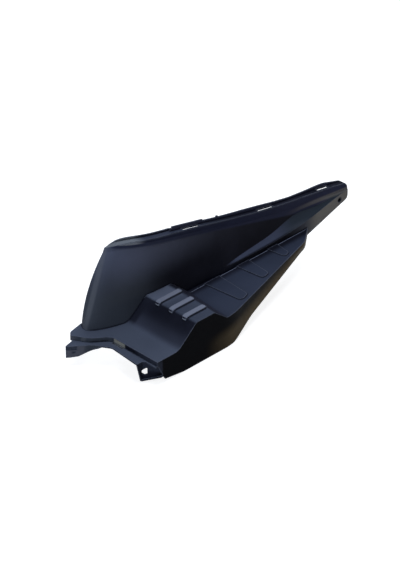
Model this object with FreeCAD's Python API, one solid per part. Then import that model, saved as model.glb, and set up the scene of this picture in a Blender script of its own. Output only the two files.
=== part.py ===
"""Scooter footboard: one injection-moulded side panel.

A foot strip climbs over a ribbed platform to a tapering panel with three raised pads. A skirt
hangs from its outer edge, and an inner wall stands along its inner edge. The wall carries an
overhanging band, a back flange with slots and a lip, and it folds in towards the rear tip.

Millimetres. +X runs along the board from its front to its rear tip, +Y runs inward from the skirt
to the wall, and +Z is up. Sizes are written from the outer front corner of the floor, and the
finished shell is moved so that its origin is the middle of the window in the front tab.
"""
import FreeCAD, Part
import math
import os
from collections import namedtuple

Vector = FreeCAD.Vector

# Shell
WALL = 2.5
REACH = 320.0

# Working limits: an angle that counts as straight, a length that counts as none, and the shares
# of a line over which its direction is taken
STRAIGHT_DEGREES = 89.9
NO_LENGTH = 1e-6
WALL_TURN_SHARE = 0.02
RIDGE_TURN_SHARE = 0.01

# Foot strip, seen from the side
FLOOR_LENGTH = 50.0
RAMP_RUN = 44.0
PLATFORM_HEIGHT = 38.5
PLATFORM_LENGTH = 44.0
DROP_RUN = 32.0
PANEL_HEIGHT = 14.0
DROP_SKEW = 12.0
RAMP_FOOT_RADIUS = 24.0
CREST_RADIUS = 9.0
DROP_TOP_RADIUS = 8.0
DROP_FOOT_RADIUS = 12.0

# Foot strip, seen from above
STRIP_WIDTH = 113.0
PANEL_BEND_X = 185.0
PANEL_SHOULDER_X = 455.0
PANEL_SHOULDER_Y = 80.0
PANEL_TIP_X = 494.0
PANEL_TIP_Y = 110.0
PANEL_INNER_Y = 105.0
PANEL_START_X = 178.0
PANEL_SHOULDER_RADIUS = 60.0
PANEL_BEND_RADIUS = 160.0
INNER_OVERRUN = 9.0
INNER_CHAMFER = 2.4

# Ribs on the platform
RIB_COUNT = 3
RIB_PITCH = 33.0
RIB_FIRST_Y = 26.0
RIB_WIDTH = 11.0
RIB_HEIGHT = 3.0
RIB_LEAD = 6.0
RIB_SETBACK = 1.0
RIB_END_RADIUS = 4.0

# Raised pads on the panel
PAD_COUNT = 3
PAD_PITCH = 79.5
PAD_FIRST_X = 238.0
PAD_FIRST_WIDTH = 38.0
PAD_WIDTH_LOSS = 6.0
PAD_TIP_SHARE = 0.62
PAD_CORNER_SHARE = 0.7
PAD_EDGE_GAP = 8.5
PAD_HEIGHT = 1.4

# Gutter between panel and wall
GUTTER_DEPTH = 5.0
GUTTER_START_X = 160.0
GUTTER_END_X = 490.0

# Skirt, seen from the side
SKIRT_DEPTH = 48.0
SKIRT_FRONT_LEAN = 18.0
SKIRT_NOSE_RUN = 45.0
SKIRT_NOSE_RISE = 6.0
SKIRT_NOSE_RADIUS = 3.0
SKIRT_BEND_RADIUS = 30.0
SKIRT_RISE_RADIUS = 90.0
SKIRT_TAIL_RADIUS = 60.0
SKIRT_TAIL_DEPTH = 1.0
SKIRT_BEND_X = 189.0
SKIRT_RISE_X = 250.0
SKIRT_RISE_DEPTH = 27.0
SKIRT_TAIL_X = 440.0

# Ledge below the front of the floor
STEP = 8.0
LEDGE_REACH = 21.0
NOTCH_DEPTH = 16.5
APRON_RUN = 20.0
APRON_RADIUS = 4.0
LEDGE_SLOT_X = -1.0
LEDGE_SLOT_WIDTH = 5.0
LEDGE_SLOT_LENGTH = 28.0
LEDGE_SLOT_Y = 94.0
LEDGE_CORNER_RADIUS = 1.0

# Front tab and its window
TAB_OUTER = Vector(12.0, 1.0, 0.0)
TAB_INNER = Vector(-8.7, 30.0, 0.0)
TAB_DROP_OUTER = 35.0
TAB_DROP_INNER = 47.0
TAB_LIP = 3.0
TAB_LIP_HEIGHT = 4.0
GUSSET_SETBACK = 1.0
WINDOW_SHARE = 0.87
WINDOW_DROP = 26.8
WINDOW_WIDTH = 10.0
WINDOW_HEIGHT = 15.6
WINDOW_SLANT = 7.0
WINDOW_CORNER_RADIUS = 1.0
WINDOW_SHOULDER_RADIUS = 1.5
WINDOW_POINT_RADIUS = 2.5

# Side tab at the front end
SIDE_TAB_DROP = 32.0
POCKET_LENGTH = 11.0
POCKET_HEIGHT = 6.5
POCKET_DEPTH = 1.3
DIMPLE_RADIUS = 2.0

# Inner wall
FOLD_START_X = 278.0
BAND_HEIGHT = 16.5
BAND_OVERHANG = 3.0
BAND_GROWTH = 1.2
FRONT_BAND_SHARE = 0.5
FRONT_BOW = 15.0
FRONT_BOW_SHARE = 1 / 3
FOOT_SPREAD_SHARE = 1 / 3
FRONT_STATIONS = 10
REAR_STATIONS = 17
TIP_X = 604.0
TIP_BOTTOM = 33.0
TIP_TOP = 66.0
TIP_SHOULDER_X = 500.0
TIP_SHOULDER_Z = 90.0
TIP_RADIUS = 16.0
TIP_BLEND_X = 520.0
TIP_BOTTOM_RADIUS = 10.0
TIP_RUN_DEPTH = 3.0
TIP_RUN_RADIUS = 30.0

# Flange behind the ridge: wide and low-lipped at the front, narrow with a tall lip behind it
FLANGE_CHANGE_X = 168.0
WIDE_FLANGE = 15.5
WIDE_FLANGE_LIP = 3.4
LIP_RUN_OUT_X = 60.0
LOWEST_LIP = 0.25
NARROW_FLANGE = 8.6
TAIL_FLANGE = 11.0
TAIL_FLANGE_X = 546.0
TAIL_FLANGE_START_X = 470.0
FLANGE_STATIONS = 13
LIP_RAISE = 2.6
LIP_RAISE_STARTS = (168.0, 276.0)
LIP_RAISE_ENDS = (247.0, 285.0)

# Slots at the foot of the lip
SLOT_CENTRES_X = (211.5, 398.0, 546.0)
SLOT_LENGTHS = (40.0, 40.0, 27.0)
SLOT_REACH = 6.6
SLOT_RISE = 0.8

# Screw cup at the rear tip
CUP_X = 582.0
CUP_Z = 37.0
CUP_RADIUS = 5.0
CUP_DEPTH = 6.0
CUP_SINK = 1.0
SCREW_HOLE_RADIUS = 2.6

# Stiffeners under the strip
STIFFENER_X = (116.0, 232.0, 300.0, 368.0)
STIFFENER_THICKNESS = 2.0
STIFFENER_DEPTH = 12.0

# A corner of an outline and the radius that rounds it.
Corner = namedtuple("Corner", "u v radius")

# The floor's front edge from above, from its outer corner to behind the wall's front end.
FLOOR_EDGE = [Corner(0.0, 0.0, 1.0), Corner(0.0, STRIP_WIDTH, 20.0), Corner(-30.0, 136.0, 30.0),
              Corner(-48.0, 168.0, 3.0), Corner(-40.0, 176.0, 10.0), Corner(-8.0, 183.0, 0.0)]

# The ledge's edge from above, from the front tab to the side tab, and the side tab's own edge.
LEDGE_EDGE = [Corner(-15.0, 97.0, 14.0), Corner(-33.0, 127.0, 40.0)]
SIDE_TAB_EDGE = [Corner(-64.0, 151.0, 3.0), Corner(-70.0, 157.0, 1.0), Corner(-42.0, 164.0, 0.0)]

# Lines of the wall: where its outer face meets floor level, its ridge, the edge of the rear
# fold's ledge and the valley above that ledge.
FOOT_LINE = [Vector(-9, 180, 0), Vector(-14, 158, 0), Vector(9, 141.5, 0), Vector(51, 127.5, 0),
             Vector(100, 119.5, 0), Vector(170, 116, 0), Vector(278, 110.87, 0)]
RIDGE_LINE = [Vector(34, 165, 143), Vector(42, 149, 150), Vector(64, 138, 151),
              Vector(110, 130, 143), Vector(185, 128.5, 129), Vector(278, 127, 110),
              Vector(374, 125.5, 90.8), Vector(470, 123, 77.6), Vector(566, 115.5, 70),
              Vector(614, 111, 64)]
LIP_LINE = [Vector(168, 0, 5.6), Vector(250, 0, 5.0), Vector(290, 0, 5.2), Vector(340, 0, 6.8),
            Vector(390, 0, 6.6), Vector(456, 0, 3.8), Vector(523, 0, 5.4), Vector(558, 0, 6.9),
            Vector(614, 0, 3.0)]
LEDGE_LINE = [Vector(278, 114.67, 18.6), Vector(346, 111.8, 19.2), Vector(422, 111.5, 20.8),
              Vector(518, 111, 33.7), Vector(566, 111, 45), Vector(614, 110.5, 51)]
VALLEY_LINE = [Vector(278, 115, 20.2), Vector(346, 118.5, 27.3), Vector(422, 122, 35),
               Vector(474, 125, 45), Vector(518, 121, 44), Vector(566, 113.5, 47.5),
               Vector(614, 111.5, 53)]


def unit(a, b):
    """The direction of (a, b) at length one."""
    length = math.hypot(a, b)
    return a / length, b / length


def mitred(points, distance):
    """The open path moved to its right by distance, with mitred corners."""
    moved = []
    last = len(points) - 1
    for index, (a, b) in enumerate(points):
        before = points[max(index - 1, 0)]
        after = points[min(index + 1, last)]
        if index == 0:
            before = (2 * a - after[0], 2 * b - after[1])
        if index == last:
            after = (2 * a - before[0], 2 * b - before[1])
        first = unit(a - before[0], b - before[1])
        second = unit(after[0] - a, after[1] - b)
        middle = unit(first[0] + second[0], first[1] + second[1])
        stretch = distance / (middle[0] * first[0] + middle[1] * first[1])
        moved.append((a + middle[1] * stretch, b - middle[0] * stretch))
    return moved


def rounding(before, corner, after):
    """Start, middle and end of the arc that rounds a corner, or None where it stays sharp."""
    towards = unit(before.u - corner.u, before.v - corner.v)
    onward = unit(after.u - corner.u, after.v - corner.v)
    cosine = max(-1.0, min(1.0, towards[0] * onward[0] + towards[1] * onward[1]))
    half = math.acos(cosine) / 2
    if corner.radius <= 0 or half > math.radians(STRAIGHT_DEGREES):
        return None
    leg = corner.radius / math.tan(half)
    inset = corner.radius / math.sin(half) - corner.radius
    bisector = unit(towards[0] + onward[0], towards[1] + onward[1])
    return ((corner.u + towards[0] * leg, corner.v + towards[1] * leg),
            (corner.u + bisector[0] * inset, corner.v + bisector[1] * inset),
            (corner.u + onward[0] * leg, corner.v + onward[1] * leg))


def rounded_wire(corners, place):
    """A closed wire through the corners, each rounded by its own radius. place maps (u, v)."""
    count = len(corners)
    arcs = [rounding(corners[index - 1], corner, corners[(index + 1) % count])
            for index, corner in enumerate(corners)]
    edges = []
    for index, corner in enumerate(corners):
        arc = arcs[index]
        following = arcs[(index + 1) % count]
        target = corners[(index + 1) % count]
        if arc:
            edges.append(Part.Arc(*[place(*point) for point in arc]).toShape())
        here = place(*arc[2]) if arc else place(corner.u, corner.v)
        there = place(*following[0]) if following else place(target.u, target.v)
        if here.distanceToPoint(there) > NO_LENGTH:
            edges.append(Part.LineSegment(here, there).toShape())
    return Part.Wire(edges)


def with_radii(path, radii):
    """Corners from a path and the radius at each of its points."""
    return [Corner(u, v, radius) for (u, v), radius in zip(path, radii)]


def plan_prism(corners, bottom, top):
    """An outline seen from above, carried from bottom to top."""
    wire = rounded_wire(corners, lambda x, y: Vector(x, y, bottom))
    return Part.Face(wire).extrude(Vector(0, 0, top - bottom))


def side_prism(corners, near, far):
    """An outline seen from the side, carried from y = near to y = far."""
    wire = rounded_wire(corners, lambda x, z: Vector(x, near, z))
    return Part.Face(wire).extrude(Vector(0, far - near, 0))


def box(low, high):
    """The block between two corners."""
    size = high - low
    return Part.makeBox(size.x, size.y, size.z, low)


def curve_through(points):
    """A smooth curve through the points."""
    curve = Part.BSplineCurve()
    curve.interpolate(points)
    return curve


def point_at(curve, share):
    """The point at a share of the curve's parameter."""
    return curve.value(curve.FirstParameter + share * (curve.LastParameter - curve.FirstParameter))


def share_at_x(curve, x):
    """The share of the parameter at which a curve that runs along X reaches x."""
    low, high = 0.0, 1.0
    for _ in range(40):
        middle = (low + high) / 2
        if point_at(curve, middle).x < x:
            low = middle
        else:
            high = middle
    return (low + high) / 2


def platform_end(y):
    """Where the platform ends and the drop begins, at a place across the strip."""
    return FLOOR_LENGTH + RAMP_RUN + PLATFORM_LENGTH + DROP_SKEW * y / STRIP_WIDTH


def climb_room(drop):
    """The room under floor, ramp and platform, lowered by drop."""
    middle = FLOOR_LENGTH + RAMP_RUN + PLATFORM_LENGTH / 2
    path = [(-REACH, 0.0), (FLOOR_LENGTH, 0.0), (FLOOR_LENGTH + RAMP_RUN, PLATFORM_HEIGHT),
            (middle, PLATFORM_HEIGHT)]
    radii = [0.0, RAMP_FOOT_RADIUS + drop, CREST_RADIUS - drop, 0.0]
    if drop:
        path = mitred(path, drop)
    corners = with_radii(path, radii) + [Corner(middle, -REACH, 0.0), Corner(-REACH, -REACH, 0.0)]
    return side_prism(corners, -REACH, REACH)


def fall_room(drop):
    """The room under platform, drop and panel, lowered by drop. It runs askew across the strip."""
    path = [(-2 * PLATFORM_LENGTH, PLATFORM_HEIGHT), (0.0, PLATFORM_HEIGHT), (DROP_RUN, PANEL_HEIGHT),
            (2 * REACH, PANEL_HEIGHT)]
    radii = [0.0, DROP_TOP_RADIUS - drop, DROP_FOOT_RADIUS + drop, 0.0]
    if drop:
        path = mitred(path, drop)
    corners = with_radii(path, radii) + [Corner(2 * REACH, -REACH, 0.0),
                                         Corner(-2 * PLATFORM_LENGTH, -REACH, 0.0)]
    askew = Vector(DROP_SKEW, STRIP_WIDTH, 0.0).normalize()
    start = Vector(platform_end(0.0), 0.0, 0.0) - askew * REACH
    outline = rounded_wire(corners, lambda u, z: start + Vector(askew.y * u, -askew.x * u, z))
    return Part.Face(outline).extrude(askew * 2 * REACH)


def room_below(drop):
    """All the room under the strip's top face, lowered by drop."""
    middle = FLOOR_LENGTH + RAMP_RUN + PLATFORM_LENGTH / 2
    ahead = box(Vector(-REACH, -2 * REACH, -2 * REACH), Vector(middle, 2 * REACH, REACH))
    return climb_room(drop).fuse(fall_room(drop).cut(ahead)).removeSplitter()


def outer_edge_y(x):
    """The straight outer edge of the panel at x."""
    return PANEL_SHOULDER_Y * (x - PANEL_BEND_X) / (PANEL_SHOULDER_X - PANEL_BEND_X)


def moved_corners(corners, distance):
    """The open path of corners moved to its right by distance, with its radii."""
    if distance == 0:
        return list(corners)
    path = mitred([(corner.u, corner.v) for corner in corners], distance)
    return with_radii(path, [corner.radius for corner in corners])


def board_outline(inset):
    """The board from above. inset moves its outer and front edges inward."""
    outer = [Corner(PANEL_TIP_X, PANEL_TIP_Y, 0.0),
             Corner(PANEL_SHOULDER_X, PANEL_SHOULDER_Y, PANEL_SHOULDER_RADIUS),
             Corner(PANEL_BEND_X, 0.0, PANEL_BEND_RADIUS)]
    inner = [Corner(point.x + INNER_OVERRUN, point.y + INNER_OVERRUN, 0.0) for point in FOOT_LINE[1:5]]
    inner += [Corner(GUTTER_START_X + WALL, FOOT_LINE[5].y + INNER_OVERRUN, 0.0),
              Corner(PANEL_START_X, PANEL_INNER_Y, 0.0)]
    return moved_corners(outer + FLOOR_EDGE, inset) + inner


def rim_side_outline():
    """What stays of the board's rim, seen from the side: skirt, step and tail."""
    step_foot = -STEP - WALL
    return [
        Corner(-REACH, step_foot, 0.0),
        Corner(WALL, step_foot, 0.0),
        Corner(SKIRT_FRONT_LEAN, SKIRT_NOSE_RISE - SKIRT_DEPTH, SKIRT_NOSE_RADIUS),
        Corner(SKIRT_FRONT_LEAN + SKIRT_NOSE_RUN, -SKIRT_DEPTH, SKIRT_TAIL_RADIUS),
        Corner(SKIRT_BEND_X, -SKIRT_DEPTH, SKIRT_BEND_RADIUS),
        Corner(SKIRT_RISE_X, -SKIRT_RISE_DEPTH, SKIRT_RISE_RADIUS),
        Corner(SKIRT_TAIL_X, -SKIRT_TAIL_DEPTH, SKIRT_TAIL_RADIUS),
        Corner(2 * REACH, -SKIRT_TAIL_DEPTH - WALL, 0.0),
        Corner(2 * REACH, REACH, 0.0),
        Corner(-REACH, REACH, 0.0),
    ]


def rim(below_top):
    """The skirt along the outer edge and the step along the front edge."""
    outside = plan_prism(board_outline(0.0), -REACH, REACH)
    inside = plan_prism(board_outline(WALL), -2 * REACH, 2 * REACH)
    band = outside.cut(inside).common(below_top)
    return band.common(side_prism(rim_side_outline(), -REACH, REACH))


def strip(below_top, below_bottom, behind_wall):
    """Floor, ramp, platform, drop and panel as one sheet, chamfered along the panel's inner edge."""
    sheet = below_top.cut(below_bottom).common(plan_prism(board_outline(0.0), -REACH, REACH))
    drop = INNER_CHAMFER / 2
    chamfer = Part.Face(Part.makePolygon([
        Vector(PANEL_START_X, PANEL_INNER_Y - INNER_CHAMFER, PANEL_HEIGHT),
        Vector(PANEL_START_X, PANEL_INNER_Y + WALL, PANEL_HEIGHT - drop),
        Vector(PANEL_START_X, PANEL_INNER_Y + WALL, PANEL_HEIGHT + drop),
        Vector(PANEL_START_X, PANEL_INNER_Y - INNER_CHAMFER, PANEL_HEIGHT)]))
    chamfer = chamfer.extrude(Vector(PANEL_TIP_X - PANEL_START_X, PANEL_TIP_Y - PANEL_INNER_Y, 0))
    return sheet.cut([behind_wall, chamfer])


def platform_ribs(below_bottom):
    """The raised ribs that run over the crest and along the platform."""
    raised = room_below(-RIB_HEIGHT).cut(below_bottom)
    start = FLOOR_LENGTH + RAMP_RUN - RIB_LEAD
    ribs = []
    for index in range(RIB_COUNT):
        middle = RIB_FIRST_Y + index * RIB_PITCH
        low, high = middle - RIB_WIDTH / 2, middle + RIB_WIDTH / 2
        end = platform_end(middle) - RIB_SETBACK
        plan = [Corner(start, low, RIB_END_RADIUS), Corner(end, low, RIB_END_RADIUS),
                Corner(end, high, RIB_END_RADIUS), Corner(start, high, RIB_END_RADIUS)]
        ribs.append(raised.common(plan_prism(plan, -REACH, REACH)))
    return ribs


def panel_pads():
    """The raised pads that reach from the panel's inner edge towards its outer edge."""
    pads = []
    for index in range(PAD_COUNT):
        middle = PAD_FIRST_X + index * PAD_PITCH
        wide = (PAD_FIRST_WIDTH - index * PAD_WIDTH_LOSS) / 2
        narrow = wide * PAD_TIP_SHARE
        shift = narrow * PANEL_SHOULDER_Y / (PANEL_SHOULDER_X - PANEL_BEND_X)
        tip = outer_edge_y(middle) + PAD_EDGE_GAP
        radius = narrow * PAD_CORNER_SHARE
        inner = PANEL_INNER_Y + (PANEL_TIP_Y - PANEL_INNER_Y) * (middle - PANEL_START_X) / (
            PANEL_TIP_X - PANEL_START_X)
        plan = [Corner(middle - wide, inner, 0.0), Corner(middle - narrow, tip - shift, radius),
                Corner(middle + narrow, tip + shift, radius), Corner(middle + wide, inner, 0.0)]
        pads.append(plan_prism(plan, PANEL_HEIGHT - WALL, PANEL_HEIGHT + PAD_HEIGHT))
    return pads


def gutter(behind_wall):
    """The low channel between panel and wall, and the riser that carries the panel's inner edge."""
    floor = PANEL_HEIGHT - GUTTER_DEPTH
    path = [(GUTTER_START_X, FOOT_LINE[5].y + INNER_OVERRUN), (PANEL_START_X, PANEL_INNER_Y),
            (GUTTER_END_X, PANEL_TIP_Y)]
    inside = mitred(path, WALL)
    riser = plan_prism([Corner(x, y, 0.0) for x, y in path + inside[::-1]], floor - WALL,
                       PANEL_HEIGHT - WALL / 2)
    far = FOOT_LINE[5].y + INNER_OVERRUN
    plan = [Corner(x, y, 0.0) for x, y in inside] + [Corner(GUTTER_END_X, far, 0.0)]
    channel = plan_prism(plan, floor - WALL, floor)
    return riser.fuse(channel).cut(behind_wall)


def ledge_outline(inset):
    """The ledge from above. inset moves its outer edge inward."""
    gusset_y = TAB_INNER.y - GUSSET_SETBACK
    notch_x = -NOTCH_DEPTH / 4
    edge = [Corner(notch_x, 0.0, 0.0), Corner(notch_x, gusset_y, 0.0),
            Corner(-LEDGE_REACH, gusset_y, LEDGE_CORNER_RADIUS)]
    inner = [Corner(FLOOR_EDGE[3].u + STEP, FLOOR_EDGE[3].v - STEP, 0.0),
             Corner(FLOOR_EDGE[2].u + STEP, FLOOR_EDGE[2].v, 0.0),
             Corner(WALL, STRIP_WIDTH, 0.0), Corner(WALL, 0.0, 0.0)]
    return moved_corners(edge + LEDGE_EDGE + SIDE_TAB_EDGE, inset) + inner


def apron_outline():
    """The hanging apron from the side: it runs out from the side tab towards the ledge."""
    start = SIDE_TAB_EDGE[1].u - WALL
    return [Corner(start, -SIDE_TAB_DROP, 0.0),
            Corner(start + APRON_RUN, WALL - SIDE_TAB_DROP, APRON_RADIUS),
            Corner(-LEDGE_REACH, -STEP - WALL, APRON_RUN), Corner(-LEDGE_REACH, STEP, 0.0),
            Corner(start, STEP, 0.0)]


def side_tab_recesses():
    """The cutters of the shallow pocket and the dimple in the side tab's face."""
    corner, bend = SIDE_TAB_EDGE[0], LEDGE_EDGE[1]
    along = Vector(bend.u - corner.u, bend.v - corner.v, 0.0).normalize()
    outward = Vector(along.y, -along.x, 0.0)
    start = Vector(corner.u, corner.v, -STEP) + outward * POCKET_DEPTH + along
    run, fall = along * POCKET_LENGTH, Vector(0, 0, -POCKET_HEIGHT)
    top = start + Vector(0, 0, -DIMPLE_RADIUS / 2)
    pocket = Part.Face(Part.makePolygon([top, top + run, top + run + fall, top + fall, top]))
    middle = start + run / 2 + Vector(0, 0, -POCKET_HEIGHT - 3 * DIMPLE_RADIUS)
    dimple = Part.makeCylinder(DIMPLE_RADIUS, 2 * POCKET_DEPTH, middle, -outward)
    return [pocket.extrude(-outward * 2 * POCKET_DEPTH), dimple]


def ledge():
    """The plate one step below the floor's front edge, with its slot and its hanging apron."""
    plate = plan_prism(ledge_outline(0.0), -STEP - WALL, -STEP)
    band = plan_prism(ledge_outline(0.0), -REACH, -STEP).cut(
        plan_prism(ledge_outline(WALL), -2 * REACH, REACH))
    apron = band.common(side_prism(apron_outline(), LEDGE_EDGE[0].v, SIDE_TAB_EDGE[1].v + WALL))
    half_length = Vector(0, LEDGE_SLOT_LENGTH / 2, 0)
    slot = box(Vector(LEDGE_SLOT_X - LEDGE_SLOT_WIDTH, LEDGE_SLOT_Y, -3 * STEP) - half_length,
               Vector(LEDGE_SLOT_X, LEDGE_SLOT_Y, -STEP / 2) + half_length)
    return plate.fuse(apron).cut([slot] + side_tab_recesses())


def tab_directions():
    """Along the front tab, inward, and straight out of its face."""
    along = (TAB_INNER - TAB_OUTER).normalize()
    return along, Vector(-along.y, along.x, 0.0)


def window_centre():
    """The middle of the front tab's window, midway through its plate."""
    outward = tab_directions()[1]
    on_face = TAB_OUTER + (TAB_INNER - TAB_OUTER) * WINDOW_SHARE - Vector(0, 0, WINDOW_DROP)
    return on_face - outward * WALL / 2


def front_tab():
    """The hanging plate with its window, a gusset on its inner side and a lip along its foot."""
    along, outward = tab_directions()
    up = Vector(0, 0, 1)
    quad = [TAB_OUTER - up * STEP, TAB_OUTER - up * TAB_DROP_OUTER,
            TAB_INNER - up * TAB_DROP_INNER, TAB_INNER - up * STEP]
    plate = Part.Face(Part.makePolygon(quad + quad[:1])).extrude(-outward * WALL)
    foot = [TAB_OUTER - up * TAB_DROP_OUTER, TAB_OUTER - up * (TAB_DROP_OUTER - TAB_LIP_HEIGHT),
            TAB_INNER - up * (TAB_DROP_INNER - TAB_LIP_HEIGHT), TAB_INNER - up * TAB_DROP_INNER]
    lip = Part.Face(Part.makePolygon(foot + foot[:1])).extrude(outward * TAB_LIP)
    gusset_y = TAB_INNER.y - GUSSET_SETBACK
    gusset = side_prism([Corner(-LEDGE_REACH, -STEP, 0.0), Corner(TAB_INNER.x + WALL, -STEP, 0.0),
                         Corner(TAB_INNER.x + WALL, -TAB_DROP_INNER, 0.0),
                         Corner(TAB_INNER.x - TAB_LIP, -TAB_DROP_INNER, 0.0)],
                        gusset_y, gusset_y + WALL)
    link = box(Vector(TAB_OUTER.x - WALL, 0.0, -TAB_DROP_OUTER),
               Vector(SKIRT_FRONT_LEAN, WALL, TAB_LIP_HEIGHT - TAB_DROP_OUTER))
    half_width, half_height = WINDOW_WIDTH / 2, WINDOW_HEIGHT / 2
    shoulder = WINDOW_HEIGHT / 6 - half_height
    window = rounded_wire([Corner(-half_width, half_height, WINDOW_CORNER_RADIUS),
                           Corner(half_width, half_height - WINDOW_SLANT, WINDOW_CORNER_RADIUS),
                           Corner(half_width, shoulder, WINDOW_SHOULDER_RADIUS),
                           Corner(0.0, -half_height, WINDOW_POINT_RADIUS),
                           Corner(-half_width, shoulder, WINDOW_SHOULDER_RADIUS)],
                          lambda u, v: window_centre() + along * u + up * v + outward * WALL * 2)
    return plate.fuse([lip, gusset, link]).cut(Part.Face(window).extrude(-outward * WALL * 4))


def placed_section(runs, foot, ridge, inward):
    """A closed section of the wall: runs of (inward, height) points, smooth within each run."""
    placed = [[foot + (ridge - foot) * (z / ridge.z) + inward * a for a, z in run] for run in runs]
    edges = []
    for index, run in enumerate(placed):
        if len(run) > 2:
            edges.append(curve_through(run).toShape())
        elif len(run) == 2:
            edges.append(Part.LineSegment(*run).toShape())
        edges.append(Part.LineSegment(run[-1], placed[(index + 1) % len(placed)][0]).toShape())
    return Part.Wire(edges)


def thickened(face, ridge):
    """The wall's outer face, its top and its inner face."""
    top = [(0.0, ridge.z), (WALL, ridge.z)]
    inner_face = [(a + WALL, z) for a, z in face[::-1]]
    return face, top, inner_face


def front_frames():
    """Foot, ridge and inward direction at each front station."""
    feet = curve_through(FOOT_LINE)
    ridges = curve_through(RIDGE_LINE)
    end = share_at_x(ridges, FOLD_START_X)
    frames = []
    for index in range(FRONT_STATIONS):
        share = index / (FRONT_STATIONS - 1)
        foot, ridge = point_at(feet, share), point_at(ridges, share * end)
        before, after = max(share - WALL_TURN_SHARE, 0.0), min(share + WALL_TURN_SHARE, 1.0)
        run = (point_at(feet, after) - point_at(feet, before) + point_at(ridges, after * end)
               - point_at(ridges, before * end))
        if index == FRONT_STATIONS - 1:
            run = Vector(1, 0, 0)
        run = unit(run.x, run.y)
        frames.append((foot, ridge, Vector(-run[1], run[0], 0.0), share))
    return frames


def front_wall():
    """The wall from its front edge to where the fold begins."""
    wires = []
    for foot, ridge, inward, share in front_frames():
        front = max(0.0, 1 - share / FRONT_BOW_SHARE) ** 2
        crease = ridge.z - BAND_HEIGHT * min(1.0, FRONT_BAND_SHARE + BAND_GROWTH * share)
        lean = (ridge - foot).dot(inward) * (1 - crease / ridge.z)
        overhang = (BAND_OVERHANG + lean) * (1 - front)
        bow = FRONT_BOW * front / 2
        face = [(0.0, -WALL), (overhang / 3 - bow, crease / 3), (2 * overhang / 3 - bow, 2 * crease / 3),
                (overhang, crease)]
        outside, top, inside = thickened(face, ridge)
        runs = [outside] + [[point] for point in top] + [inside]
        wires.append(placed_section(runs, foot, ridge, inward))
    return Part.makeLoft(wires, True, False)


def rear_wall():
    """The wall from where the fold begins to the rear tip."""
    lines = [curve_through(line) for line in (RIDGE_LINE, LEDGE_LINE, VALLEY_LINE)]
    end = RIDGE_LINE[-1].x
    wires = []
    for index in range(REAR_STATIONS):
        x = FOLD_START_X + (end - FOLD_START_X) * index / (REAR_STATIONS - 1)
        ridge, edge, valley = [point_at(line, share_at_x(line, x)) for line in lines]
        crease = max(ridge.z - BAND_HEIGHT, valley.z + WALL)
        overhang = BAND_OVERHANG * min(1.0, (TIP_X - min(x, TIP_X)) / (TIP_X - TIP_BLEND_X))
        lean = (ridge.y + overhang - valley.y) / (crease - valley.z)
        fading = max(0.0, 1 - index / (REAR_STATIONS * FOOT_SPREAD_SHARE))
        spread = lean * (edge.z + SKIRT_DEPTH) * fading
        face = [(edge.y - ridge.y - spread, -SKIRT_DEPTH), (edge.y - ridge.y, edge.z),
                (valley.y - ridge.y, valley.z), (overhang, crease)]
        foot = Vector(x, ridge.y, 0.0)
        points = [point for run in thickened(face, ridge) for point in run]
        wires.append(placed_section([[point] for point in points], foot, ridge, Vector(0, 1, 0)))
    return Part.makeLoft(wires, True, True)


def tip_side_outline():
    """The rear wall from the side: its rising lower edge and rounded tip."""
    return [
        Corner(-REACH, -TIP_RUN_DEPTH, 0.0),
        Corner(PANEL_TIP_X, -TIP_RUN_DEPTH, TIP_RUN_RADIUS),
        Corner(TIP_X, TIP_BOTTOM, TIP_BOTTOM_RADIUS),
        Corner(TIP_X, TIP_TOP, TIP_RADIUS),
        Corner(TIP_SHOULDER_X, TIP_SHOULDER_Z, 0.0),
        Corner(FOLD_START_X, REACH, 0.0),
        Corner(-REACH, REACH, 0.0),
    ]


def room_behind_wall():
    """The room behind the middle of the wall's thickness, low down, where the strip must not reach."""
    low, high = -2 * SKIRT_DEPTH, 2 * PLATFORM_HEIGHT
    runs = [[(WALL / 2, low)], [(WALL / 2, high)], [(STRIP_WIDTH / 4, high)], [(STRIP_WIDTH / 4, low)]]
    front = Part.makeLoft([placed_section(runs, foot, ridge, inward)
                           for foot, ridge, inward, share in front_frames()], True, False)
    edge = LEDGE_LINE[2].y + WALL / 2
    rear = box(Vector(FOLD_START_X, edge, low), Vector(TIP_X, edge + STRIP_WIDTH, high))
    return front.fuse(rear)


def ridge_frame(x):
    """The ridge point at x and the level direction that leads inward from it."""
    ridges = curve_through(RIDGE_LINE)
    share = share_at_x(ridges, x)
    before, after = max(share - RIDGE_TURN_SHARE, 0.0), min(share + RIDGE_TURN_SHARE, 1.0)
    run = point_at(ridges, after) - point_at(ridges, before)
    run = unit(run.x, run.y)
    return point_at(ridges, share), Vector(-run[1], run[0], 0.0)


def ridge_strip(start, end, section):
    """A strip that follows the ridge. section gives its (inward, height) corners at x."""
    wires = []
    for index in range(FLANGE_STATIONS):
        x = start + (end - start) * index / (FLANGE_STATIONS - 1)
        ridge, inward = ridge_frame(x)
        points = [ridge + inward * a + Vector(0, 0, z) for a, z in section(x)]
        wires.append(Part.makePolygon(points + points[:1]))
    return Part.makeLoft(wires, True, True)


def flange_width(x):
    """The width of the rear flange, which grows towards the tail."""
    share = (x - TAIL_FLANGE_START_X) / (TAIL_FLANGE_X - TAIL_FLANGE_START_X)
    return NARROW_FLANGE + (TAIL_FLANGE - NARROW_FLANGE) * max(0.0, min(1.0, share))


def lip_height(x):
    """The height of the rear flange's lip."""
    line = curve_through(LIP_LINE)
    return point_at(line, share_at_x(line, x)).z


def angle_section(width, height):
    """An L of wall thickness: a flange whose lip stands at its back."""
    back = width - WALL
    return [(0.0, 0.0), (back, 0.0), (back, height), (width, height), (width, -WALL), (0.0, -WALL)]


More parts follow.
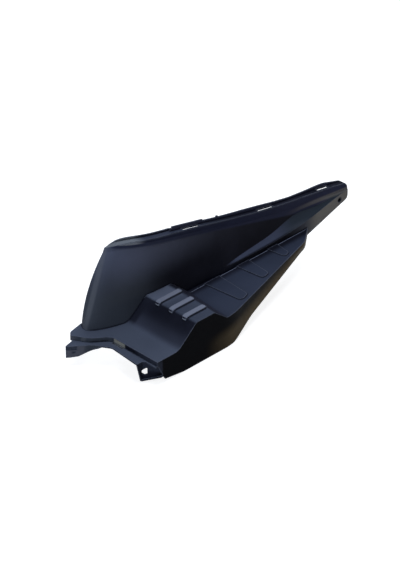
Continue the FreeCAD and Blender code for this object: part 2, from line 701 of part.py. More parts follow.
def front_flange():
    """The wide flange, whose lip runs out towards the front."""
    def section(x):
        share = (x - RIDGE_LINE[0].x) / (LIP_RUN_OUT_X - RIDGE_LINE[0].x)
        return angle_section(WIDE_FLANGE, WIDE_FLANGE_LIP * min(1.0, share) + LOWEST_LIP)
    return ridge_strip(RIDGE_LINE[0].x, FLANGE_CHANGE_X, section)


def rear_flange():
    """The narrow flange with its tall lip, stretches of raised lip and the slots at its foot."""
    def section(x):
        return angle_section(flange_width(x) + WALL, lip_height(max(x, FLANGE_CHANGE_X)))
    strip = ridge_strip(FLANGE_CHANGE_X - WALL, RIDGE_LINE[-1].x, section)
    raised = [raised_lip(*ends) for ends in zip(LIP_RAISE_STARTS, LIP_RAISE_ENDS)]
    return strip.fuse(raised)


def raised_lip(start, end):
    """A short stretch where the lip stands higher, with sloping ends."""
    ends = []
    for x in (start, end):
        ridge, inward = ridge_frame(x)
        ends.append((ridge + inward * flange_width(x), Vector(0, 0, lip_height(max(x, FLANGE_CHANGE_X)))))
    (first, first_lip), (last, last_lip) = ends
    slope = (last - first).normalize() * LIP_RAISE
    up = Vector(0, 0, LIP_RAISE)
    quad = [first, first + slope + first_lip + up, last - slope + last_lip + up, last]
    return Part.Face(Part.makePolygon(quad + quad[:1])).extrude(Vector(0, WALL, 0))


def slot_cutters():
    """The cutters of the slots, which open the flange and the foot of its lip."""
    cutters = []
    for middle, length in zip(SLOT_CENTRES_X, SLOT_LENGTHS):
        near = flange_width(middle) - SLOT_REACH
        first, last = [ridge_frame(x)[0] + Vector(0, near, 0) for x in
                       (middle - length / 2, middle + length / 2)]
        low, high = Vector(0, 0, -2 * WALL), Vector(0, 0, SLOT_RISE)
        quad = [first + low, first + high, last + high, last + low]
        slot = Part.Face(Part.makePolygon(quad + quad[:1]))
        cutters.append(slot.extrude(Vector(0, SLOT_REACH + 2 * WALL, 0)))
    return cutters


def wall():
    """The inner wall with its flange, cut off under the strip."""
    outline = side_prism(tip_side_outline(), 0.0, 2 * STRIP_WIDTH)
    rear = rear_wall().common(outline)
    flange = rear_flange().common(outline).cut(slot_cutters())
    under = room_below(WALL + GUTTER_DEPTH).common(
        box(Vector(-REACH, -REACH, -REACH), Vector(PANEL_TIP_X - STEP, REACH, PLATFORM_HEIGHT)))
    return front_wall().cut(under).fuse(rear.cut(under)).fuse(front_flange()).fuse(flange)


def screw_cup():
    """The cup behind the rear tip, and the cutters of its pocket and screw hole."""
    inward = Vector(0, 1, 0)
    mouth = Vector(CUP_X, LEDGE_LINE[-1].y - CUP_SINK, CUP_Z)
    root = mouth + inward * (CUP_SINK + WALL / 2)
    cup = Part.makeCylinder(CUP_RADIUS + WALL, CUP_DEPTH + WALL / 2, root, inward)
    pocket = Part.makeCylinder(CUP_RADIUS, CUP_DEPTH + CUP_SINK, mouth, inward)
    hole = Part.makeCylinder(SCREW_HOLE_RADIUS, 4 * CUP_DEPTH, mouth, inward)
    return cup, [pocket, hole]


def stiffeners(below_bottom):
    """Thin ribs under the platform and panel."""
    low = below_bottom.copy()
    low.translate(Vector(0, 0, -STIFFENER_DEPTH))
    layer = below_bottom.cut(low)
    outline = plan_prism(board_outline(WALL / 2), -REACH, REACH)
    ribs = []
    for x in STIFFENER_X:
        slab = box(Vector(x, -REACH, -REACH),
                   Vector(x + STIFFENER_THICKNESS, PANEL_INNER_Y - WALL / 2, REACH))
        ribs.append(layer.common(slab).common(outline))
    return ribs


def footboard():
    """The whole shell."""
    below_top = room_below(0.0)
    below_bottom = room_below(WALL)
    behind_wall = room_behind_wall()
    cup, cup_cutters = screw_cup()
    pieces = [rim(below_top), gutter(behind_wall), ledge(), front_tab(), wall(), cup]
    pieces += platform_ribs(below_bottom) + panel_pads() + stiffeners(below_bottom)
    shell = strip(below_top, below_bottom, behind_wall).fuse(pieces).cut(cup_cutters)
    shell.translate(-window_centre())
    return shell.removeSplitter()


def main():
    """Builds the shell and writes it."""
    os.makedirs("parts", exist_ok=True)
    shell = footboard()
    print("solids", len(shell.Solids), "valid", shell.isValid(), "volume", round(shell.Volume))
    shell.exportStep("parts/footboard.step")


main()
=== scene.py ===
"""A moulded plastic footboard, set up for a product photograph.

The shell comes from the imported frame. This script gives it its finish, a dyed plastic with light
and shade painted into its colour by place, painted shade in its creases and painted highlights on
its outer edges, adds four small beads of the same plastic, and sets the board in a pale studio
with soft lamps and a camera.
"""

import logging
import math
from dataclasses import dataclass
from enum import Enum

import bmesh
import bpy
from mathutils import Matrix, Vector


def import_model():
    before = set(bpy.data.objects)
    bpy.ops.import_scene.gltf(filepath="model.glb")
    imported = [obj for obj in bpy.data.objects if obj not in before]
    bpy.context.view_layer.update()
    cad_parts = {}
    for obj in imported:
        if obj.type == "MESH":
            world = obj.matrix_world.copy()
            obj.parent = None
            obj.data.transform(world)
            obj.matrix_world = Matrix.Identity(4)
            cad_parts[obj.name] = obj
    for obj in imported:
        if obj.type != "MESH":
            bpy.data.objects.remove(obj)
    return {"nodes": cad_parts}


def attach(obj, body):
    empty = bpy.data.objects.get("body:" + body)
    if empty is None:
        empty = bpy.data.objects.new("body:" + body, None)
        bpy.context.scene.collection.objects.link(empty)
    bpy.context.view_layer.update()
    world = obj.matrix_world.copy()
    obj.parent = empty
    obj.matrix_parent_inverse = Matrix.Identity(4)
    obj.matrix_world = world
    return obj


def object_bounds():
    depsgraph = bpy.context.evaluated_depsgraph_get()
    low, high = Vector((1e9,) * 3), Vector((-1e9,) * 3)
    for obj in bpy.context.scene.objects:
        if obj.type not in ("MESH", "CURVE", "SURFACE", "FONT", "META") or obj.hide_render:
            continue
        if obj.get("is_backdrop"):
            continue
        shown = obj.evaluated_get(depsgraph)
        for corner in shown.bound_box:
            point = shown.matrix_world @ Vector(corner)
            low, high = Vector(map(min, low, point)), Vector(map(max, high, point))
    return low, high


LOG = logging.getLogger("footboard")
MM = 0.001

Colour = tuple[float, float, float]
Place = tuple[float, float, float]
Span = tuple[float, float]
Socket = bpy.types.NodeSocket
Tree = bpy.types.NodeTree


class Reads(Enum):
    """What a ramp is measured on."""

    PLACE = "place"
    FACING = "facing"


class Axis(Enum):
    """Directions of the board: along it, inward from skirt to wall, and up.

    The others lie square to an edge that slopes, so a ramp on one of them follows that edge.
    """

    ALONG = (1.0, 0.0, 0.0)
    INWARD = (0.0, 1.0, 0.0)
    UP = (0.0, 0.0, 1.0)
    RIDGE = (0.23, 0.0, 1.0)
    FOLD = (-0.175, 0.0, 1.0)
    WALL_FRONT = (1.0, -1.0, -0.36)
    SKIRT = (-0.085, 0.0, 1.0)
    CHAMFER = (-0.0158, 1.0, 0.0)


@dataclass(frozen=True)
class Ramp:
    """A strength that grows from nought at start to one at full, in millimetres or as a facing."""

    start: float
    full: float
    axis: Axis = Axis.ALONG
    reads: Reads = Reads.PLACE


@dataclass(frozen=True)
class Tone:
    """A colour laid over the plastic where all of its ramps are full; most tones are painted light and
    shade.

    The most is how strongly it shows there, and patchy is the share that it loses in places.
    """

    name: str
    colour: Colour
    ramps: tuple[Ramp, ...]
    most: float = 1.0
    patchy: float = 0.2


# Ramps that several tones share. Places are in millimetres from the floor's outer front corner.
UPWARD = Ramp(0.72, 0.985, Axis.UP, Reads.FACING)
STEEP = Ramp(0.80, 0.45, Axis.UP, Reads.FACING)
ON_WALL = Ramp(100, 116, Axis.INWARD)
ON_SKIRT = Ramp(103, 96, Axis.INWARD)
ON_STRIP = Ramp(75, 62, Axis.UP)
UNDER_RIDGE = Ramp(164, 160, Axis.RIDGE)
UNDER_REAR_BAND = Ramp(60, 50, Axis.UP)
RIBS_START = Ramp(80, 84)
RIBS_END = Ramp(148, 142)
ON_PLATFORM = (UPWARD, Ramp(84, 98), Ramp(148, 138), ON_STRIP)

# The tones of the shell, each laid over the ones before it. Most are light and shade painted into the
# colour.
TONES = (
    # Painted light: the wall lighter towards its front end, as lit from the left.
    Tone("wall_low", (0.056, 0.064, 0.080), (STEEP, Ramp(165, 40), ON_WALL, UNDER_RIDGE)),
    # Painted light: the wall lighter high up and towards the front.
    Tone("wall_high", (0.100, 0.112, 0.165),
         (STEEP, Ramp(380, 70), Ramp(50, 120, Axis.UP), ON_WALL, UNDER_RIDGE)),
    # Painted shade: the upper front corner of the wall darker than the painted light around it.
    Tone("wall_corner", (0.050, 0.056, 0.072),
         (STEEP, Ramp(62, 8), Ramp(40, 80, Axis.UP), ON_WALL, UNDER_RIDGE), most=0.7),
    # Painted highlight: a pale streak along the wall's front edge.
    Tone("wall_front", (0.150, 0.158, 0.178),
         (STEEP, Ramp(-172, -179, Axis.WALL_FRONT), Ramp(-190, -185, Axis.WALL_FRONT), ON_WALL),
         most=0.45, patchy=0.3),
    # Painted light: the flange above the ridge lighter towards the front.
    Tone("flange", (0.038, 0.045, 0.070),
         (Ramp(330, 150), Ramp(163, 167, Axis.RIDGE), ON_WALL), most=0.9),
    # Painted light: the upright lip above the flange lighter towards the front.
    Tone("lip", (0.075, 0.082, 0.110),
         (STEEP, Ramp(420, 200), Ramp(170, 174, Axis.RIDGE), ON_WALL), most=0.9),
    # Painted shade: the band along the ridge darker, as an overhang that faces down.
    Tone("band", (0.024, 0.029, 0.062), (STEEP, Ramp(152, 157, Axis.RIDGE), ON_WALL), most=0.85),
    # Painted light: the upward-facing ledge of the rear fold lighter.
    Tone("rear_fold", (0.066, 0.080, 0.132),
         (Ramp(278, 318), Ramp(0.30, 0.50, Axis.UP, Reads.FACING), Ramp(111.5, 114.5, Axis.INWARD),
          Ramp(18.6, 20.4, Axis.UP), UNDER_REAR_BAND)),
    # Painted shade: the far end of the rear fold darker.
    Tone("rear_fold_end", (0.024, 0.032, 0.044),
         (Ramp(405, 470), Ramp(0.25, 0.45, Axis.UP, Reads.FACING), Ramp(109, 111, Axis.INWARD),
          UNDER_REAR_BAND), patchy=0.08),
    Tone("fold_light", (0.160, 0.155, 0.150),
         (Ramp(440, 540), Ramp(47, 51, Axis.UP), Ramp(59, 54, Axis.UP)), most=0.55),
    # Painted light: the low wall under the rear fold paler.
    Tone("under_fold", (0.080, 0.090, 0.120),
         (STEEP, Ramp(430, 495), Ramp(34, 26, Axis.UP), ON_WALL), most=0.8),
    # Painted light: the tip's faces below the fold pale grey.
    Tone("tip", (0.150, 0.150, 0.148),
         (Ramp(0.38, 0.2, Axis.UP, Reads.FACING), Ramp(484, 525), Ramp(-46, -58, Axis.FOLD),
          Ramp(125, 118, Axis.INWARD)), most=0.95),
    # Painted light: the upward faces at the top of the wall's front corner lighter.
    Tone("front_corner", (0.138, 0.150, 0.168),
         (Ramp(0.45, 0.8, Axis.UP, Reads.FACING), Ramp(106, 78), Ramp(128, 136, Axis.UP)),
         most=0.95, patchy=0.1),
    # Painted highlight: the lip at the wall's front corner very pale.
    Tone("corner_lip", (0.300, 0.320, 0.360),
         (STEEP, Ramp(104, 78), Ramp(160, 162, Axis.RIDGE), ON_WALL), most=0.9),
    Tone("skirt_shade", (0.0022, 0.0024, 0.0035), (STEEP, Ramp(2, 12), ON_SKIRT), patchy=0.0),
    # Painted reflection: the skirt's lower rear part brown, like the lit ground reflected in it.
    Tone("skirt_painted_reflection", (0.090, 0.070, 0.043),
         (STEEP, Ramp(112, 190), Ramp(-15, -42, Axis.SKIRT), ON_SKIRT)),
    # Painted reflection: the foot of the skirt's tail pale warm grey, like the lit ground reflected in
    # it.
    Tone("skirt_tail", (0.135, 0.132, 0.122),
         (STEEP, Ramp(385, 455), Ramp(9, 2, Axis.UP), ON_SKIRT), most=0.9),
    # Painted light: the steep faces at the front end paler.
    Tone("apron", (0.110, 0.112, 0.135), (STEEP, Ramp(-38, -52))),
    # Painted shade: a dark patch high in the side pocket at the front end.
    Tone("side_pocket", (0.040, 0.046, 0.068),
         (STEEP, Ramp(-53.5, -55), Ramp(-17, -15.6, Axis.UP), Ramp(-8.2, -9, Axis.UP)),
         most=0.9, patchy=0.0),
    # Painted shade: a dark spot in the small dimple at the front end.
    Tone("side_dimple", (0.045, 0.050, 0.075),
         (STEEP, Ramp(-62, -61), Ramp(-56, -57), Ramp(-23, -22, Axis.UP), Ramp(-18, -19, Axis.UP)),
         patchy=0.0),
    # Painted shade: the front tab under the ledge darker.
    Tone("front_tab", (0.030, 0.034, 0.050),
         (STEEP, Ramp(14, 10), Ramp(-20, -12), Ramp(60, 40, Axis.INWARD), Ramp(2, -4, Axis.UP),
          Ramp(-30, -22, Axis.UP))),
    # Painted light: a pale beige patch on the riser at the ledge slot and on the bead behind it.
    Tone("slot_painted_light", (0.31, 0.30, 0.255),
         (STEEP, Ramp(-7.5, -6.2), Ramp(3, 1.5), Ramp(79, 82, Axis.INWARD),
          Ramp(109, 106, Axis.INWARD), Ramp(0, -1.5, Axis.UP)), most=0.9, patchy=0.5),
    # Painted light: the panel's upward faces lighter towards the rear and away from the wall.
    Tone("panel_painted_light", (0.031, 0.038, 0.061),
         (UPWARD, Ramp(140, 190), Ramp(102, 88, Axis.INWARD)), most=0.95),
    # Painted light: the foot of the ramp lighter.
    Tone("ramp_foot", (0.044, 0.050, 0.073),
         (Ramp(0.6, 0.75, Axis.UP, Reads.FACING), Ramp(86, 46), Ramp(30, 12, Axis.UP),
          Ramp(116, 108, Axis.INWARD)), most=0.8),
    # Painted light: the floor's upward faces lighter, as lit from above.
    Tone("floor_painted_light", (0.063, 0.074, 0.104), (UPWARD, Ramp(66, 44), ON_STRIP)),
    # Painted light: the platform's top lighter, as lit from above.
    Tone("platform_painted_light", (0.046, 0.055, 0.080), ON_PLATFORM),
    # Painted light: the platform's top lighter still towards the wall.
    Tone("platform_inner", (0.105, 0.120, 0.165), (*ON_PLATFORM, Ramp(62, 112, Axis.INWARD)),
         most=0.9),
    # Painted light: the ribs' sides that face the skirt lighter.
    Tone("rib_sides", (0.120, 0.135, 0.180),
         (Ramp(-0.35, -0.7, Axis.INWARD, Reads.FACING), RIBS_START, RIBS_END,
          Ramp(31, 34, Axis.UP), Ramp(46, 44, Axis.UP), Ramp(5, 12, Axis.INWARD),
          Ramp(112, 108, Axis.INWARD)), most=0.95, patchy=0.1),
    # Painted highlight: the ribs' rounded ends over the crest pale.
    Tone("rib_ends", (0.330, 0.350, 0.410),
         (Ramp(-0.70, -0.85, Axis.ALONG, Reads.FACING), RIBS_START, Ramp(100, 96),
          Ramp(34, 36.5, Axis.UP)), most=0.95, patchy=0.1),
    # Painted light: the rib tops lighter than the platform between them.
    Tone("rib_tops", (0.165, 0.178, 0.225),
         (Ramp(83, 88), RIBS_END, Ramp(38.8, 39.5, Axis.UP), Ramp(118, 112, Axis.INWARD),
          Ramp(0.4, 0.75, Axis.UP, Reads.FACING)), most=0.95, patchy=0.1),
    # Painted highlight: a pale line along the panel's inner chamfer by the wall.
    Tone("panel_edge", (0.120, 0.135, 0.185),
         (Ramp(178, 184), Ramp(11.6, 12.2, Axis.UP), Ramp(15.0, 14.4, Axis.UP),
          Ramp(98.8, 99.6, Axis.CHAMFER), Ramp(0.1, 0.2, Axis.INWARD, Reads.FACING)),
         most=0.95, patchy=0.1),
)


@dataclass(frozen=True)
class MouldedPlastic:
    """A dyed, grained plastic with faint flow marks, tones by place that are mostly painted light and
    shade, painted shade in its creases and painted highlights on its outer edges.

    The tones are measured from its corner, in millimetres. A span is the pair of values of a noise,
    or of how open the surface is, between which an effect goes from nothing to full.
    """

    name: str
    corner: Place
    colour: Colour = (0.0075, 0.0082, 0.0135)
    tones: tuple[Tone, ...] = TONES
    gloss: float = 0.01
    roughness: float = 0.46
    roughness_spread: float = 0.12
    noise_span: Span = (0.3, 0.7)
    cloud_scale: float = 11.0
    cloud_detail: float = 4.0
    flow_lift: float = 1.7
    flow_span: Span = (0.35, 0.7)
    scuff_scale: float = 240.0
    scuff_detail: float = 3.0
    grain_scale: float = 2600.0
    grain_detail: float = 1.0
    grain_height: float = 0.00005
    grain_strength: float = 0.35
    near_samples: int = 6
    # Painted shade: creases darker where AO finds other surface near, apart from faces that look
    # forward.
    crease_shade: Colour = (0.003, 0.0035, 0.008)
    crease_reach: float = 0.003
    crease_span: Span = (0.98, 0.76)
    crease_share: float = 0.8
    crease_patchy: float = 0.2
    crease_facing: Ramp = Ramp(-0.85, -0.65, Axis.ALONG, Reads.FACING)
    # Painted highlight: outer edges paler where AO looking into the wall finds them, patchy by a fine
    # noise.
    edge_highlight: Colour = (0.085, 0.095, 0.125)
    edge_reach: float = 0.0015
    edge_span: Span = (0.985, 0.78)
    edge_share: float = 0.8
    edge_patchy: float = 0.4
    edge_highlight_span: Span = (0.35, 0.65)

    def material(self) -> bpy.types.Material:
        """Builds the node tree.

        Returns:
            The finished material.
        """
        made = bpy.data.materials.new(self.name)
        made.use_nodes = True
        tree = made.node_tree
        shader = tree.nodes["Principled BSDF"]
        shader.inputs["Specular IOR Level"].default_value = self.gloss
        coordinates = tree.nodes.new("ShaderNodeTexCoord").outputs
        place = coordinates["Object"]
        sources = {Reads.PLACE: self.board_place(tree, place), Reads.FACING: coordinates["Normal"]}
        clouds = self.noise(tree, place, self.cloud_scale, self.cloud_detail)
        scuffs = self.noise(tree, place, self.scuff_scale, self.scuff_detail)
        colour = self.base(tree, clouds)
        for tone in self.tones:
            shown = self.strength(tree, sources, tone, clouds)
            colour = self.lay(tree, colour, tone.colour, shown)
        # Painted shade in the creases, then painted highlights on the outer edges.
        colour = self.lay(tree, colour, self.crease_shade, self.shaded_creases(tree, sources, clouds))
        colour = self.lay(tree, colour, self.edge_highlight, self.highlit_edges(tree, scuffs))
        tree.links.new(colour, shader.inputs["Base Color"])
        tree.links.new(self.scuffed(tree, scuffs), shader.inputs["Roughness"])
        tree.links.new(self.grain(tree, place), shader.inputs["Normal"])
        return made

    def board_place(self, tree: Tree, place: Socket) -> Socket:
        """Turns the object's coordinates into millimetres from the floor's outer front corner.

        Args:
            tree: The material's node tree.
            place: The object coordinates in metres.

        Returns:
            The place on the board.
        """
        node = tree.nodes.new("ShaderNodeVectorMath")
        node.operation = "MULTIPLY_ADD"
        node.inputs[1].default_value = (1 / MM, 1 / MM, 1 / MM)
        node.inputs[2].default_value = tuple(-part for part in self.corner)
        tree.links.new(place, node.inputs[0])
        return node.outputs["Vector"]

    def base(self, tree: Tree, clouds: Socket) -> Socket:
        """Adds the dyed plastic's own colour, with faint flow marks.

        Args:
            tree: The material's node tree.
            clouds: A slow noise.

        Returns:
            The colour.
        """
        node = tree.nodes.new("ShaderNodeMix")
        node.data_type = "RGBA"
        node.inputs["A"].default_value = (*self.colour, 1.0)
        node.inputs["B"].default_value = (*(part * self.flow_lift for part in self.colour), 1.0)
        tree.links.new(self.spread(tree, clouds, self.flow_span), node.inputs["Factor"])
        return node.outputs["Result"]

    def strength(self, tree: Tree, sources: dict[Reads, Socket], tone: Tone, clouds: Socket) -> Socket:
        """Multiplies a tone's ramps and makes the result a little patchy.

        Args:
            tree: The material's node tree.
            sources: What each kind of ramp reads.
            tone: The tone.
            clouds: A slow noise.

        Returns:
            How strongly the tone shows.
        """
        total = self.spread(tree, clouds, self.noise_span, self.patches(tone.most, tone.patchy))
        for ramp in tone.ramps:
            total = self.times(tree, total, self.rise(tree, sources, ramp))
        return total

    def rise(self, tree: Tree, sources: dict[Reads, Socket], ramp: Ramp) -> Socket:
        """Measures one ramp on the surface.

        Args:
            tree: The material's node tree.
            sources: What each kind of ramp reads.
            ramp: The ramp.

        Returns:
            Its strength, from nought to one.
        """
        along = tree.nodes.new("ShaderNodeVectorMath")
        along.operation = "DOT_PRODUCT"
        along.inputs[1].default_value = ramp.axis.value
        tree.links.new(sources[ramp.reads], along.inputs[0])
        return self.spread(tree, along.outputs["Value"], (ramp.start, ramp.full))

    def shaded_creases(self, tree: Tree, sources: dict[Reads, Socket], clouds: Socket) -> Socket:
        """Finds where the painted crease shade goes: the creases, apart from those on faces that look
        forward.

        Args:
            tree: The material's node tree.
            sources: What each kind of ramp reads.
            clouds: A slow noise.

        Returns:
            How strongly the painted crease shade shows.
        """
        near = self.nearness(tree, False, self.crease_reach, self.crease_span)
        near = self.times(tree, near, self.rise(tree, sources, self.crease_facing))
        shares = self.patches(self.crease_share, self.crease_patchy)
        return self.times(tree, near, self.spread(tree, clouds, self.noise_span, shares))

    def highlit_edges(self, tree: Tree, scuffs: Socket) -> Socket:
        """Finds the outer edges for the painted edge highlight, which shows more in some places than
        in others.

        Args:
            tree: The material's node tree.
            scuffs: A fine noise.

        Returns:
            How strongly the painted edge highlight shows.
        """
        near = self.nearness(tree, True, self.edge_reach, self.edge_span)
        shares = self.patches(self.edge_share, self.edge_patchy)
        return self.times(tree, near, self.spread(tree, scuffs, self.edge_highlight_span, shares))

    def scuffed(self, tree: Tree, scuffs: Socket) -> Socket:
        """Makes the roughness, which the scuffs change from place to place.

        Args:
            tree: The material's node tree.
            scuffs: A fine noise.

        Returns:
            The roughness.
        """
        half = self.roughness_spread / 2
        around = (self.roughness - half, self.roughness + half)
        return self.spread(tree, scuffs, self.noise_span, around)

    def grain(self, tree: Tree, place: Socket) -> Socket:
        """Adds the fine grain of the mould.

        Args:
            tree: The material's node tree.
            place: The object coordinates.

        Returns:
            The surface's direction with the grain on it.
        """
        bump = tree.nodes.new("ShaderNodeBump")
        bump.inputs["Strength"].default_value = self.grain_strength
        bump.inputs["Distance"].default_value = self.grain_height
        height = self.noise(tree, place, self.grain_scale, self.grain_detail)
        tree.links.new(height, bump.inputs["Height"])
        return bump.outputs["Normal"]

    def patches(self, most: float, patchy: float) -> Span:
        """Gives the least and the most that a patchy colour shows.

        Args:
            most: The most that it shows.
            patchy: The share of it that is lost in places.

        Returns:
            The least and the most.
        """
        return (most * (1 - patchy), most)

    def lay(self, tree: Tree, under: Socket, colour: Colour, strength: Socket) -> Socket:
        """Lays one colour over another.

        Args:
            tree: The material's node tree.
            under: The colour below.
            colour: The colour laid on.
            strength: How strongly it shows.

        Returns:
            The mixed colour.
        """
        node = tree.nodes.new("ShaderNodeMix")
        node.data_type = "RGBA"
        node.inputs["B"].default_value = (*colour, 1.0)
        tree.links.new(under, node.inputs["A"])
        tree.links.new(strength, node.inputs["Factor"])
        return node.outputs["Result"]

    def nearness(self, tree: Tree, inside: bool, reach: float, open_span: Span) -> Socket:
        """Finds where other parts of the surface are near, in front of it or behind it.

        Args:
            tree: The material's node tree.
            inside: Whether to look into the wall, which finds its outer edges.
            reach: How far to look, in metres.
            open_span: How open the surface is where nothing is near, and where the effect is full.

        Returns:
            How near they are, from nought to one.
        """
        look = tree.nodes.new("ShaderNodeAmbientOcclusion")
        look.samples = self.near_samples
        look.inside = inside
        look.only_local = True
        look.inputs["Distance"].default_value = reach
        return self.spread(tree, look.outputs["AO"], open_span)

    def times(self, tree: Tree, value: Socket, other: Socket) -> Socket:
        """Multiplies two values.

        Args:
            tree: The material's node tree.
            value: The first value.
            other: The second value.

        Returns:
            The product.
        """
        node = tree.nodes.new("ShaderNodeMath")
        node.operation = "MULTIPLY"
        tree.links.new(value, node.inputs[0])
        tree.links.new(other, node.inputs[1])
        return node.outputs[0]

    def noise(self, tree: Tree, place: Socket, scale: float, detail: float) -> Socket:
        """Adds a noise over the piece's own coordinates.

        Args:
            tree: The material's node tree.
            place: The object coordinates.
            scale: Cells in a metre.
            detail: Octaves of finer noise.

        Returns:
            The noise's value.
        """
        node = tree.nodes.new("ShaderNodeTexNoise")
        node.inputs["Scale"].default_value = scale
        node.inputs["Detail"].default_value = detail
        tree.links.new(place, node.inputs["Vector"])
        return node.outputs["Fac"]

    def spread(self, tree: Tree, value: Socket, span: Span, onto: Span = (0.0, 1.0)) -> Socket:
        """Maps a span of a value smoothly onto another.

        Args:
            tree: The material's node tree.
            value: What is mapped.
            span: The two values that give the ends of onto.
            onto: The result at each end of the span.

        Returns:
            The mapped value.
        """
        node = tree.nodes.new("ShaderNodeMapRange")
        node.interpolation_type = "SMOOTHSTEP"
        node.inputs["From Min"].default_value = span[0]
        node.inputs["From Max"].default_value = span[1]
        node.inputs["To Min"].default_value = onto[0]
        node.inputs["To Max"].default_value = onto[1]
        tree.links.new(value, node.inputs["Value"])
        return node.outputs["Result"]


@dataclass
class Shell:
    """The one moulded piece of the footboard, with its floor's outer front corner in millimetres."""

    node: bpy.types.Object
    corner: Place = (4.99, -26.96, 26.8)

    def dress(self) -> bpy.types.Material:
        """Gives the shell its finish, with light and shade painted into its colour.

        Returns:
            The finished material.
        """
        material = MouldedPlastic("shell_plastic", self.corner).material()
        self.node.data.materials.clear()
        self.node.data.materials.append(material)
        LOG.info("dressed %s with %d tones", self.node.name, len(TONES))
        return material


@dataclass(frozen=True)
class Bead:
    """A flat moulded bead along a line that may bow, in millimetres from the floor's front corner.

    Its width lies level across the line, and its height stands upright.
    """

    name: str
    start: Place
    end: Place
    bow: Place = (0.0, 0.0, 0.0)
    steps: int = 4
    width: float = 5.0
    height: float = 2.8
    rounding: float = 0.5

    def path(self) -> list[Vector]:
        """Works out the bead's middle line, which bows the most halfway along.

        Returns:
            The line's points, evenly spread.
        """
        points = []
        for step in range(self.steps + 1):
            share = step / self.steps
            straight = Vector(self.start).lerp(Vector(self.end), share)
            points.append(straight + Vector(self.bow) * 4 * share * (1 - share))
        return points


BEADS = (
    Bead("front_lip_foot", start=(190.0, 138.18, 126.76), end=(233.0, 137.63, 118.19),
         bow=(0.0, 0.075, 0.095)),
    Bead("middle_lip_foot", start=(376.5, 135.17, 89.06), end=(419.5, 134.47, 82.27),
         bow=(0.0, 0.04, -0.185)),
    Bead("rear_lip_foot", start=(531.0, 130.76, 71.58), end=(561.0, 128.06, 69.17),
         bow=(0.0, 0.02, 0.065)),
    # Closes the ledge slot from behind, and carries the slot's painted pale light.
    Bead("ledge_slot_back", start=(-0.18, 78.5, -11.6), end=(-0.18, 109.5, -11.6),
         steps=1, width=5.2, height=2.15),
)


@dataclass
class MouldedBeads:
    """The beads under the lip, one at each slot of the flange, and one at the ledge's slot."""

    corner: Place
    finish: bpy.types.Material
    beads: tuple[Bead, ...] = BEADS
    corner_steps: int = 3
    merge: float = 0.01

    def build(self) -> None:
        """Makes each bead and rides it on the board."""
        group = self.group()
        for bead in self.beads:
            piece = self.make(bead, group)
            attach(piece, "root")
            LOG.info("bead %s, %d faces", bead.name, len(piece.data.polygons))

    def group(self) -> Tree:
        """Builds the nodes that run a rounded section along a path.

        Returns:
            The node group, with Path, Width, Height, Rounding and Finish as its inputs.
        """
        group = bpy.data.node_groups.new("bead_along_path", "GeometryNodeTree")
        face = group.interface
        face.new_socket("Path", in_out="INPUT", socket_type="NodeSocketGeometry")
        for name in ("Width", "Height", "Rounding"):
            face.new_socket(name, in_out="INPUT", socket_type="NodeSocketFloat")
        face.new_socket("Finish", in_out="INPUT", socket_type="NodeSocketMaterial")
        face.new_socket("Bead", in_out="OUTPUT", socket_type="NodeSocketGeometry")
        given = group.nodes.new("NodeGroupInput").outputs
        curve = group.nodes.new("GeometryNodeMeshToCurve")
        upright = group.nodes.new("GeometryNodeSetCurveNormal")
        upright.mode = "Z_UP"
        section = group.nodes.new("GeometryNodeCurvePrimitiveQuadrilateral")
        rounded = group.nodes.new("GeometryNodeFilletCurve")
        rounded.mode = "POLY"
        rounded.inputs["Count"].default_value = self.corner_steps
        swept = group.nodes.new("GeometryNodeCurveToMesh")
        swept.inputs["Fill Caps"].default_value = True
        real = group.nodes.new("GeometryNodeRealizeInstances")
        dressed = group.nodes.new("GeometryNodeSetMaterial")
        result = group.nodes.new("NodeGroupOutput")
        for start, end in (
                (given["Path"], curve.inputs["Mesh"]),
                (curve.outputs["Curve"], upright.inputs["Curve"]),
                (given["Width"], section.inputs["Width"]),
                (given["Height"], section.inputs["Height"]),
                (section.outputs["Curve"], rounded.inputs["Curve"]),
                (given["Rounding"], rounded.inputs["Radius"]),
                (upright.outputs["Curve"], swept.inputs["Curve"]),
                (rounded.outputs["Curve"], swept.inputs["Profile Curve"]),
                (swept.outputs["Mesh"], real.inputs["Geometry"]),
                (real.outputs["Geometry"], dressed.inputs["Geometry"]),
                (given["Finish"], dressed.inputs["Material"]),
                (dressed.outputs["Geometry"], result.inputs["Bead"])):
            group.links.new(start, end)
        return group

    def make(self, bead: Bead, group: Tree) -> bpy.types.Object:
        """Makes one bead as a plain mesh.

        Args:
            bead: The bead.
            group: The nodes that sweep it.

        Returns:
            The finished piece.
        """
        line = bpy.data.meshes.new(bead.name + "_path")
        places = [(point + Vector(self.corner)) * MM for point in bead.path()]
        line.from_pydata(places, [(step, step + 1) for step in range(bead.steps)], [])
        piece = bpy.data.objects.new(bead.name, line)
        bpy.context.scene.collection.objects.link(piece)
        nodes = piece.modifiers.new("sweep", "NODES")
        nodes.node_group = group
        values = {"Width": bead.width * MM, "Height": bead.height * MM,
                  "Rounding": bead.rounding * MM, "Finish": self.finish}
        for item in group.interface.items_tree:
            if item.in_out == "INPUT" and item.name in values:
                nodes[item.identifier] = values[item.name]
        depsgraph = bpy.context.evaluated_depsgraph_get()
        swept = bpy.data.meshes.new_from_object(piece.evaluated_get(depsgraph))
        piece.modifiers.remove(nodes)
        self.close(swept)
        piece.data = swept
        return piece

    def close(self, mesh: bpy.types.Mesh) -> None:
        """Merges the points of the end caps with the sides' and turns all faces outwards.

        Args:
            mesh: A bead's mesh.
        """
        shape = bmesh.new()
        shape.from_mesh(mesh)
        bmesh.ops.remove_doubles(shape, verts=shape.verts, dist=self.merge * MM)
        bmesh.ops.recalc_face_normals(shape, faces=shape.faces)
        shape.to_mesh(mesh)
        shape.free()


